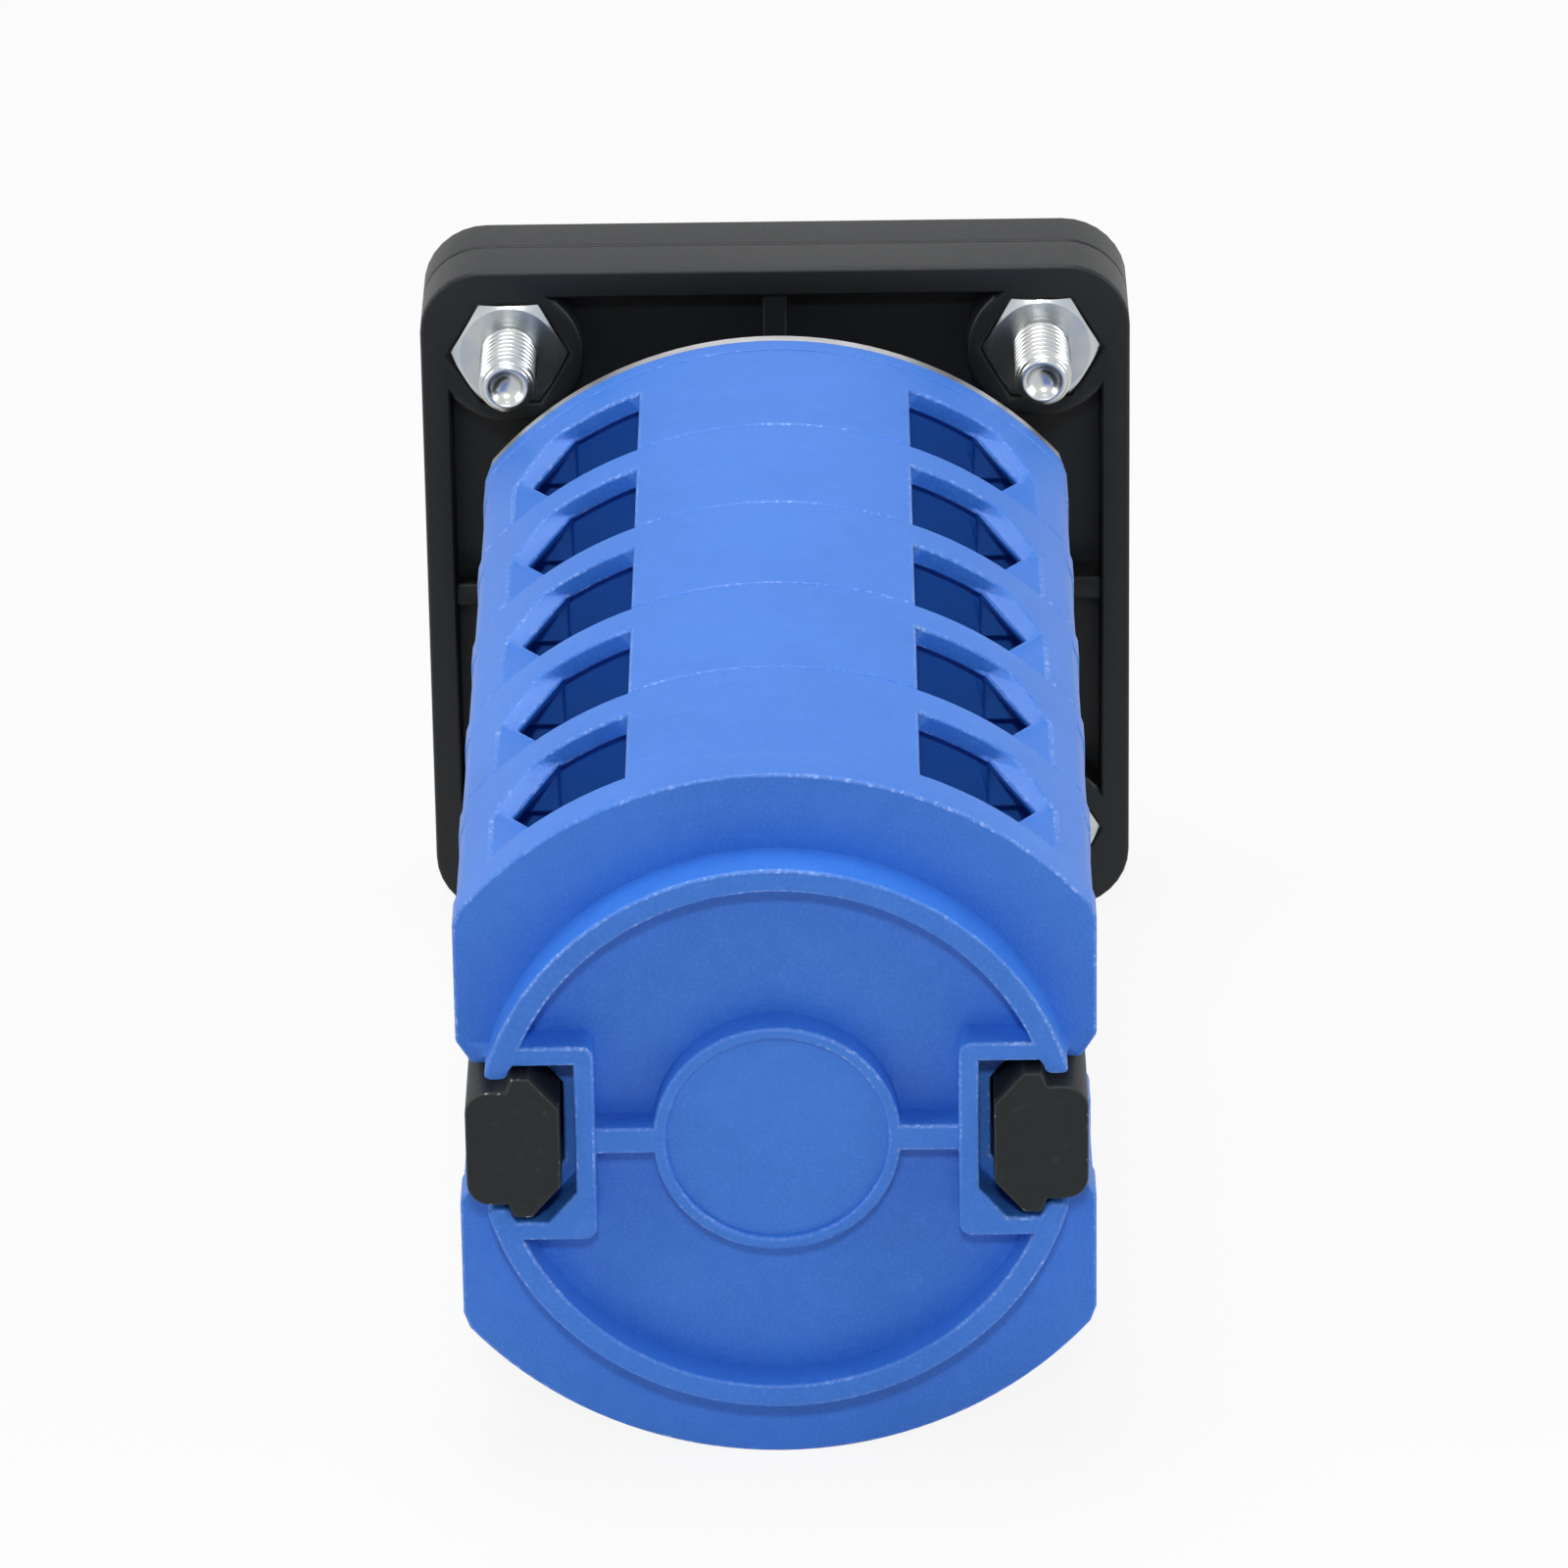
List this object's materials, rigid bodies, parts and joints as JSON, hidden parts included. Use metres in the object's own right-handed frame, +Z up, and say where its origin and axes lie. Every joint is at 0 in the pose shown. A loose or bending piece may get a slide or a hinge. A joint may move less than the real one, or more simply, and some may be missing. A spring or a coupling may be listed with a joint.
{
  "type": "rotary cam switch",
  "caption": "Panel-mounted rotary cam switch: a bar knob turns stacked cams that slide contact bridges in blue terminal decks behind a square black frame.",
  "frame": {"origin": "on the switch axis, in the panel plane between the front bezel and the rear flange", "axes": "+Y along the switch axis from the knob towards the end cap, +X to the right seen from the knob's side, +Z up"},
  "size_m": [0.048, 0.1142, 0.048],
  "materials": {
    "blue_plastic": "matte moulded blue plastic with a fine grain",
    "black_plastic": "satin black moulded plastic",
    "bar_plastic": "dark grey-black moulded plastic",
    "zinc": "bright zinc plated steel",
    "steel": "plain spring and sheet steel",
    "brass": "brass with silvered contact buttons",
    "nylon": "natural white nylon",
    "dial": "satin anodised aluminium"
  },
  "bodies": {
    "housing": {"front_bezel": "black_plastic", "dial_plate": "dial", "rear_flange": "black_plastic", "mounting_screws": "zinc", "mounting_nuts": "zinc", "detent_housing": "black_plastic", "housing_screws": "zinc", "detent_springs": "steel", "steel_plate": "steel", "front_cover": "blue_plastic", "deck_1": "blue_plastic", "deck_2": "blue_plastic", "deck_3": "blue_plastic", "deck_4": "blue_plastic", "deck_5": "blue_plastic", "end_cap": "blue_plastic", "tie_bar_left": "bar_plastic", "tie_bar_right": "bar_plastic", "terminal_screws": "zinc", "clamp_washers": "zinc", "fixed_contacts_1": "brass", "fixed_contacts_2": "brass", "fixed_contacts_3": "brass", "fixed_contacts_4": "brass", "fixed_contacts_5": "brass", "contact_springs_1": "steel", "contact_springs_2": "steel", "contact_springs_3": "steel", "contact_springs_4": "steel", "contact_springs_5": "steel"},
    "rotor": {"square_shaft": "zinc", "star_wheel": "nylon", "knob": "black_plastic", "knob_screw": "zinc", "knob_cap": "black_plastic", "cam_1": "nylon", "cam_2": "nylon", "cam_3": "nylon", "cam_4": "nylon", "cam_5": "nylon"},
    "plunger_1_top": {"plunger_1_top": "nylon", "bridge_1_top": "brass"},
    "plunger_1_bottom": {"plunger_1_bottom": "nylon", "bridge_1_bottom": "brass"},
    "plunger_2_top": {"plunger_2_top": "nylon", "bridge_2_top": "brass"},
    "plunger_2_bottom": {"plunger_2_bottom": "nylon", "bridge_2_bottom": "brass"},
    "plunger_3_top": {"plunger_3_top": "nylon", "bridge_3_top": "brass"},
    "plunger_3_bottom": {"plunger_3_bottom": "nylon", "bridge_3_bottom": "brass"},
    "plunger_4_top": {"plunger_4_top": "nylon", "bridge_4_top": "brass"},
    "plunger_4_bottom": {"plunger_4_bottom": "nylon", "bridge_4_bottom": "brass"},
    "plunger_5_top": {"plunger_5_top": "nylon", "bridge_5_top": "brass"},
    "plunger_5_bottom": {"plunger_5_bottom": "nylon", "bridge_5_bottom": "brass"}
  },
  "joints": [
    {"name": "knob_turn", "type": "hinge", "parent": "housing", "child": "rotor", "pos_m": [0, 0, 0], "axis": [0, 1, 0], "range_deg": [-60, 60], "deforming": ["detent_springs"]},
    {"name": "plunger_1_top_slide", "type": "slide", "parent": "housing", "child": "plunger_1_top", "axis": [0, 0, 1], "range_m": [-0.00091, 0.00091], "deforming": ["contact_springs_1"]},
    {"name": "plunger_1_bottom_slide", "type": "slide", "parent": "housing", "child": "plunger_1_bottom", "axis": [0, 0, -1], "range_m": [-0.00091, 0.00091]},
    {"name": "plunger_2_top_slide", "type": "slide", "parent": "housing", "child": "plunger_2_top", "axis": [0, 0, 1], "range_m": [-0.00091, 0.00091], "deforming": ["contact_springs_2"]},
    {"name": "plunger_2_bottom_slide", "type": "slide", "parent": "housing", "child": "plunger_2_bottom", "axis": [0, 0, -1], "range_m": [-0.00091, 0.00091]},
    {"name": "plunger_3_top_slide", "type": "slide", "parent": "housing", "child": "plunger_3_top", "axis": [0, 0, 1], "range_m": [-0.00091, 0.00091], "deforming": ["contact_springs_3"]},
    {"name": "plunger_3_bottom_slide", "type": "slide", "parent": "housing", "child": "plunger_3_bottom", "axis": [0, 0, -1], "range_m": [-0.00091, 0.00091]},
    {"name": "plunger_4_top_slide", "type": "slide", "parent": "housing", "child": "plunger_4_top", "axis": [0, 0, 1], "range_m": [-0.00091, 0.00091], "deforming": ["contact_springs_4"]},
    {"name": "plunger_4_bottom_slide", "type": "slide", "parent": "housing", "child": "plunger_4_bottom", "axis": [0, 0, -1], "range_m": [-0.00091, 0.00091]},
    {"name": "plunger_5_top_slide", "type": "slide", "parent": "housing", "child": "plunger_5_top", "axis": [0, 0, 1], "range_m": [-0.00091, 0.00091], "deforming": ["contact_springs_5"]},
    {"name": "plunger_5_bottom_slide", "type": "slide", "parent": "housing", "child": "plunger_5_bottom", "axis": [0, 0, -1], "range_m": [-0.00091, 0.00091]}
  ],
  "couplings": [
    {"joint": "plunger_1_top_slide", "follows": "knob_turn", "m_per_rad": -0.00085944},
    {"joint": "plunger_1_bottom_slide", "follows": "knob_turn", "m_per_rad": -0.00085944},
    {"joint": "plunger_2_top_slide", "follows": "knob_turn", "m_per_rad": 0.00085944},
    {"joint": "plunger_2_bottom_slide", "follows": "knob_turn", "m_per_rad": 0.00085944},
    {"joint": "plunger_3_top_slide", "follows": "knob_turn", "m_per_rad": -0.00085944},
    {"joint": "plunger_3_bottom_slide", "follows": "knob_turn", "m_per_rad": -0.00085944},
    {"joint": "plunger_4_top_slide", "follows": "knob_turn", "m_per_rad": 0.00085944},
    {"joint": "plunger_4_bottom_slide", "follows": "knob_turn", "m_per_rad": 0.00085944},
    {"joint": "plunger_5_top_slide", "follows": "knob_turn", "m_per_rad": -0.00085944},
    {"joint": "plunger_5_bottom_slide", "follows": "knob_turn", "m_per_rad": -0.00085944}
  ]
}
